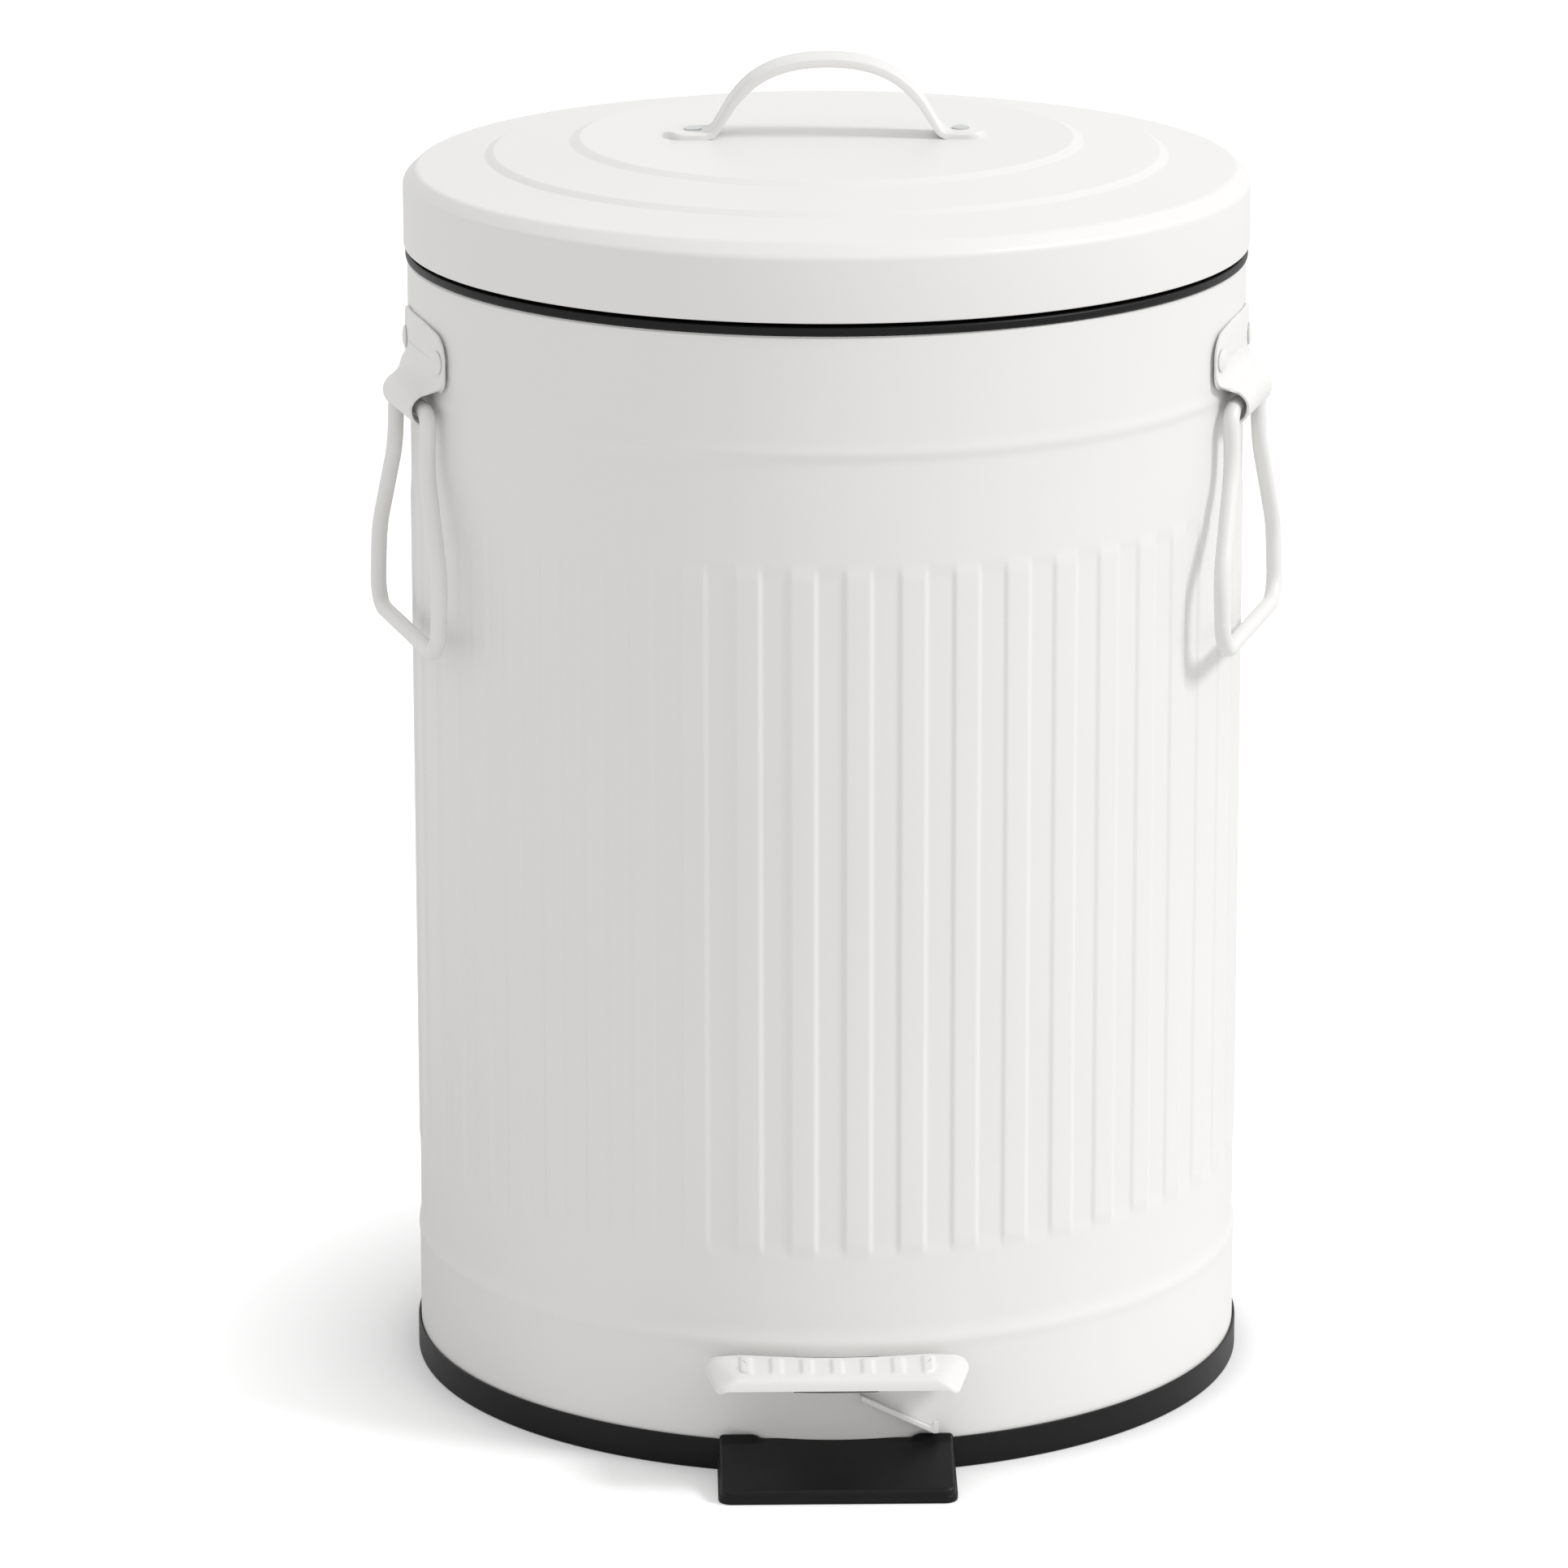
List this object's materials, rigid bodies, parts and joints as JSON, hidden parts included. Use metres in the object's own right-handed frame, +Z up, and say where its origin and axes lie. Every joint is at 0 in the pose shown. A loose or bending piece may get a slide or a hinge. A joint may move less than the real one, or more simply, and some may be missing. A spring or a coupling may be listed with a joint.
{
  "type": "pedal bin",
  "caption": "Fluted round steel pedal bin with a hinged stepped lid and strap handle, swinging wire side handles, black rim and base rings, a lift-out bucket and a foot pedal.",
  "frame": {"origin": "middle of the footprint's bounding box, on the floor under the bin; the body's own axis is 8.1 mm behind it", "axes": "+Z up; the pedal faces -Y and the lid hinge is on the +Y side; +X to the right seen from the front"},
  "size_m": [0.2752, 0.2868, 0.4004],
  "materials": {
    "white_powder_coat": "semi-gloss powder coat",
    "black_plastic": "moulded, fine matt grain",
    "zinc_plated_steel": "bright zinc plate"
  },
  "bodies": {
    "body": {"body_shell": "white_powder_coat", "base_ring": "black_plastic", "bottom_disc": "zinc_plated_steel", "front_foot": "black_plastic", "lever_bracket": "zinc_plated_steel", "lever_pin": "zinc_plated_steel", "pedal_stop": "white_powder_coat", "rod_guide_lower": "black_plastic", "rod_guide_upper": "black_plastic", "rim_collar": "black_plastic", "bucket": "black_plastic", "bucket_bail": "zinc_plated_steel", "left_bracket": "white_powder_coat", "right_bracket": "white_powder_coat", "hinge_bracket": "white_powder_coat", "hinge_pin": "zinc_plated_steel", "left_bracket_rivet_front": "white_powder_coat", "left_bracket_rivet_rear": "white_powder_coat", "right_bracket_rivet_front": "white_powder_coat", "right_bracket_rivet_rear": "white_powder_coat", "hinge_rivet_left": "white_powder_coat", "hinge_rivet_right": "white_powder_coat"},
    "lid": {"lid": "white_powder_coat", "lid_liner": "black_plastic", "lid_grip": "white_powder_coat", "lid_hinge_arm": "white_powder_coat", "hinge_arm_rivet_left": "white_powder_coat", "hinge_arm_rivet_right": "white_powder_coat", "grip_rivet_left": "zinc_plated_steel", "grip_rivet_right": "zinc_plated_steel"},
    "pedal": {"pedal": "white_powder_coat", "pedal_lever": "zinc_plated_steel"},
    "lift_rod": {"lift_rod": "zinc_plated_steel"},
    "left_bail": {"left_bail": "white_powder_coat"},
    "right_bail": {"right_bail": "white_powder_coat"}
  },
  "joints": [
    {"name": "lid_hinge", "type": "hinge", "parent": "body", "child": "lid", "pos_m": [0, 0.1393, 0.3405], "axis": [-1, 0, 0], "range_deg": [0, 78]},
    {"name": "pedal_press", "type": "hinge", "parent": "body", "child": "pedal", "pos_m": [0, -0.0289, 0.0307], "axis": [1, 0, 0], "range_deg": [0, 4.6]},
    {"name": "rod_lift", "type": "slide", "parent": "body", "child": "lift_rod", "axis": [0, 0, 1], "range_m": [0, 0.0122]},
    {"name": "left_bail_swing", "type": "hinge", "parent": "body", "child": "left_bail", "pos_m": [-0.12323, -0.02654, 0.304], "axis": [-0.2706, 0.9627, 0], "range_deg": [0, 150]},
    {"name": "right_bail_swing", "type": "hinge", "parent": "body", "child": "right_bail", "pos_m": [0.12286, -0.02782, 0.304], "axis": [-0.2807, -0.9598, 0], "range_deg": [0, 150]}
  ],
  "couplings": [
    {"joint": "pedal_press", "follows": "lid_hinge", "ratio": 0.058972},
    {"joint": "rod_lift", "follows": "lid_hinge", "m_per_rad": 0.008961}
  ]
}
